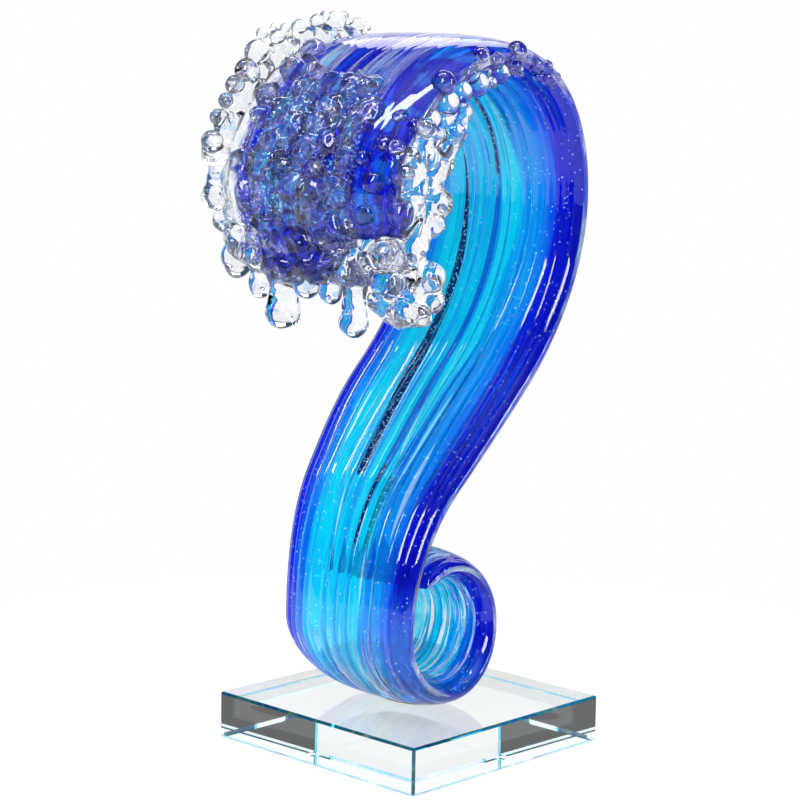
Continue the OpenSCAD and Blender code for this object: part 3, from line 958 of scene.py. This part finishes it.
def make_foam():
    noise.seed_set(NOISE_SEED)
    clear = foam_glass("clear_foam", (0.38, 0.60, 0.95), 0.22, 0.2)
    blanket = foam_glass(
        "blanket_foam", (0.50, 0.51, 0.92), 0.30, 0.7,
        night=0.35, painted_glints_and_threads=0.85, ior=1.42, core=True, clear=0.985)
    fringe = foam_glass("fringe_foam", (0.25, 0.32, 0.92), 0.22, 0.3, core=True)
    bead = foam_glass("bead_glass", (0.80, 0.88, 0.98), 0.1, 0.05, painted_glints_and_threads=0.0)

    bm = bmesh.new()
    blanket_balls(bm)
    melted("front_blanket", bm, blanket, "front_foam", 0.7, 22, (3.0, 12.5, 3.0), (31, 24, 0.8, 2.2))

    bm = bmesh.new()
    for chain, share in ((CURTAIN_INNER, INNER_SHARE), (CURTAIN_OUTER, OUTER_SHARE)):
        add_run(bm, [(x, y, z, r * share) for x, y, z, r in chain])
    for inner, outer in zip(CURTAIN_INNER[1:], CURTAIN_OUTER):
        add_run(bm, [(*inner[:3], inner[3] * RUNG_SHARE), (*outer[:3], outer[3] * RUNG_SHARE)])
    for x, y, z, r in CURTAIN_LUMPS:
        add_ball(bm, turned(x, y, z), r)
    for s, u, r in LOBE_DOMES:
        add_ball(bm, place(s, u, half_thickness(s, u) - 0.35 * r), r)
    melted("near_curtain_glass", bm, clear, "near_curtain", 0.7, 5, (1.3, 14.0, 5.0), (32, 22, 0.8, 2.6))

    bm = bmesh.new()
    add_run(bm, FRINGE)
    melted("lip_fringe_glass", bm, fringe, "lip_fringe", 0.8, 5, (2.6, 11.0, 9.0), (33, 30, 0.6, 2.0))

    bm = bmesh.new()
    for y, z, r in DRIPS:
        middle = (DRIP_TOP + z) / 2 + 1
        root = (DRIP_X, y, DRIP_TOP + 2, r * DRIP_ROOT)
        add_run(bm, [root, (DRIP_X, y, middle, r * DRIP_NECK), (DRIP_X, y, z, r)], 0.2)
    melted("lip_drips_glass", bm, clear, "lip_drips", 0.6, 6, (0.7, 9.0, 1.0), (34, 14, 0.4, 1.2))

    bm = bmesh.new()
    add_run(bm, [(*plane_place(s, RIM_U, out), r) for s, out, r in EDGING], 0.35)
    for s, out, r in EDGING_LUMPS:
        add_ball(bm, turned(*plane_place(s, RIM_U, out)), r)
    melted("far_edging_glass", bm, clear, "far_edging", 0.8, 5, (1.5, 11.0, 4.0), (35, 36, 0.4, 1.6))

    for name, node, beads, side, seed, count in (
        ("near_beads_glass", "near_beads", NEAR_BEADS, -RIM_U, 7, 16),
        ("far_beads_glass", "far_beads", FAR_BEADS, RIM_U, 8, 10),
    ):
        bm = bmesh.new()
        bead_row(bm, beads, side, seed, count)
        finish_mesh(name, bm, [bead], node)


# Stage, light and camera

FLOOR_SIZE = 24.0
FLOOR_DROP = 0.0002  # the floor lies this far below the model, in metres


def make_floor():
    """A pale floor that runs into white away from the object and keeps its shadow near it."""
    bm = bmesh.new()
    bmesh.ops.create_grid(bm, x_segments=8, y_segments=8, size=FLOOR_SIZE / 2)
    mesh = bpy.data.meshes.new("floor")
    bm.to_mesh(mesh)
    bm.free()
    n = new_material("pale_floor")
    at = n.position()
    n.principled(Base_Color=n.mix(n.noise(at, 40.0), (0.94, 0.94, 0.94), (0.96, 0.96, 0.96)), Roughness=0.9)
    n.shader.inputs["Specular IOR Level"].default_value = 0.1
    white = n.add("Emission")
    reach = n.add("VectorMath", operation="LENGTH")
    n.put(reach.inputs[0], at)
    away = n.spread(reach.outputs["Value"], 0.10, 0.32, 0.55, 1.0)
    blend = n.add("MixShader")
    path = n.add("LightPath")
    sharp = n.math("MAXIMUM", path.outputs["Is Transmission Ray"], path.outputs["Is Glossy Ray"])
    plain = n.times(away, path.outputs["Is Camera Ray"])
    n.put(blend.inputs[0], n.math("MAXIMUM", plain, n.times(sharp, 0.85)))
    n.put(blend.inputs[1], n.shader.outputs[0])
    n.put(blend.inputs[2], white.outputs[0])
    n.put(n.tree.nodes["Material Output"].inputs["Surface"], blend.outputs[0])
    mesh.materials.append(n.owner)
    floor = bpy.data.objects.new("floor", mesh)
    floor.location.z = CAD_LOW.z - FLOOR_DROP
    bpy.context.collection.objects.link(floor)


STUDIO_TURN = 44  # the studio's long axis, in degrees from +X
# The light at a height (0 level, 1 overhead), as seen through glass and in gloss: (height, level)
THROUGH_GLASS = [(0.0, 0.98), (0.30, 0.98), (0.44, 0.42), (0.64, 0.20), (0.80, 0.35), (0.90, 1.0)]
IN_GLOSS = [(0.0, 0.14), (0.20, 0.10), (0.45, 0.05), (0.72, 0.06), (0.86, 0.45), (0.94, 1.0)]
SIDE_WALL = (0.07, 0.11, 0.08)


def make_world():
    """White to the camera; to glass and gloss a bright backdrop, dim side walls and a ceiling."""
    world = bpy.data.worlds.new("studio")
    bpy.context.scene.world = world
    n = Nodes(world)
    n.tree.nodes.clear()
    way = n.add("TexCoord").outputs["Generated"]
    parts = n.add("SeparateXYZ")
    n.put(parts.inputs[0], way)
    height = parts.outputs["Z"]
    turn = math.radians(STUDIO_TURN)
    across = n.add("VectorMath", operation="DOT_PRODUCT")
    n.put(across.inputs[0], way)
    across.inputs[1].default_value = (math.sin(turn), -math.cos(turn), 0)
    deep = n.add("VectorMath", operation="DOT_PRODUCT")
    n.put(deep.inputs[0], way)
    deep.inputs[1].default_value = (math.cos(turn), math.sin(turn), 0)
    through = n.ramp(height, [(at, (level,) * 3) for at, level in THROUGH_GLASS])
    wall = n.spread(n.math("ABSOLUTE", across.outputs["Value"]), 0.62, 0.86)
    through = n.mix(n.times(wall, n.spread(height, 0.60, 0.35)), through, SIDE_WALL)
    gloss = n.ramp(height, [(at, (level,) * 3) for at, level in IN_GLOSS])
    behind = n.times(n.spread(deep.outputs["Value"], 0.55, 0.85), n.spread(height, 0.42, 0.30))
    gloss = n.mix(behind, gloss, (0.95, 0.95, 0.97))
    path = n.add("LightPath")
    colour = n.mix(path.outputs["Is Transmission Ray"], (1.0, 1.0, 1.0), through)
    colour = n.mix(path.outputs["Is Glossy Ray"], colour, gloss)
    background = n.add("Background")
    n.put(background.inputs["Color"], colour)
    n.put(n.add("OutputWorld").inputs["Surface"], background.outputs[0])


# Name, place, the point it faces, size and power
LIGHTS = [
    ("key_softbox", (-0.75, -0.55, 0.75), (0, 0, 0.17), (0.30, 0.55), 9),
    ("side_strip", (0.48, -0.95, 0.50), (0, 0, 0.17), (0.10, 0.60), 4),
    ("top_softbox", (-0.1, 0.1, 1.1), (0, 0, 0.15), (0.12, 0.8), 5),
    ("back_strip", (0.85, 0.42, 0.82), (0, 0, 0.28), (1.0, 0.30), 2.2),
]


def add_light(name, at, aim, size, power):
    data = bpy.data.lights.new(name, "AREA")
    data.shape = "RECTANGLE"
    data.size, data.size_y = size
    data.energy = power
    light = bpy.data.objects.new(name, data)
    light.location = at
    light.rotation_mode = "QUATERNION"
    light.rotation_quaternion = (Vector(aim) - Vector(at)).to_track_quat("-Z", "Y")
    bpy.context.collection.objects.link(light)


# The camera, fitted to the block's corners in the photo: degrees and millimetres
CAMERA_AZIMUTH = -46.285
CAMERA_ELEVATION = 8.7129
CAMERA_ROLL = 0.96856
CAMERA_DISTANCE = 989.294
CAMERA_OFFSET = (-3.41992, 139.3232)
CAMERA_LENS = 108
SENSOR_WIDTH = 36


def make_camera():
    a, e, r = (math.radians(v) for v in (CAMERA_AZIMUTH, CAMERA_ELEVATION, CAMERA_ROLL))
    back = Vector((math.sin(a) * math.cos(e), -math.cos(a) * math.cos(e), math.sin(e)))
    level = Vector((math.cos(a), math.sin(a), 0))
    up = back.cross(level)
    right = level * math.cos(r) + up * math.sin(r)
    up = up * math.cos(r) - level * math.sin(r)
    data = bpy.data.cameras.new("camera")
    data.lens = CAMERA_LENS
    data.sensor_width = SENSOR_WIDTH
    data.clip_start, data.clip_end = 0.05, 20
    camera = bpy.data.objects.new("camera", data)
    axes = Matrix((right, up, back)).transposed()
    at = (back * CAMERA_DISTANCE + right * CAMERA_OFFSET[0] + up * CAMERA_OFFSET[1]) * MM
    camera.matrix_world = Matrix.Translation(at) @ axes.to_4x4()
    bpy.context.collection.objects.link(camera)
    bpy.context.scene.camera = camera


BOUNCES = 24  # light has to find its way through many layers of glass


def dress_node(name, material):
    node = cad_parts[name]
    node.data.materials.clear()
    node.data.materials.append(material)


make_camera()
dress_node("base_block", crystal())
dress_node("adhesive_film", adhesive())
make_strip()
make_foam()
make_floor()
make_world()
for light in LIGHTS:
    add_light(*light)

scene = bpy.context.scene
scene.view_settings.view_transform = "Standard"
scene.cycles.max_bounces = BOUNCES
scene.cycles.transmission_bounces = BOUNCES
scene.cycles.transparent_max_bounces = BOUNCES
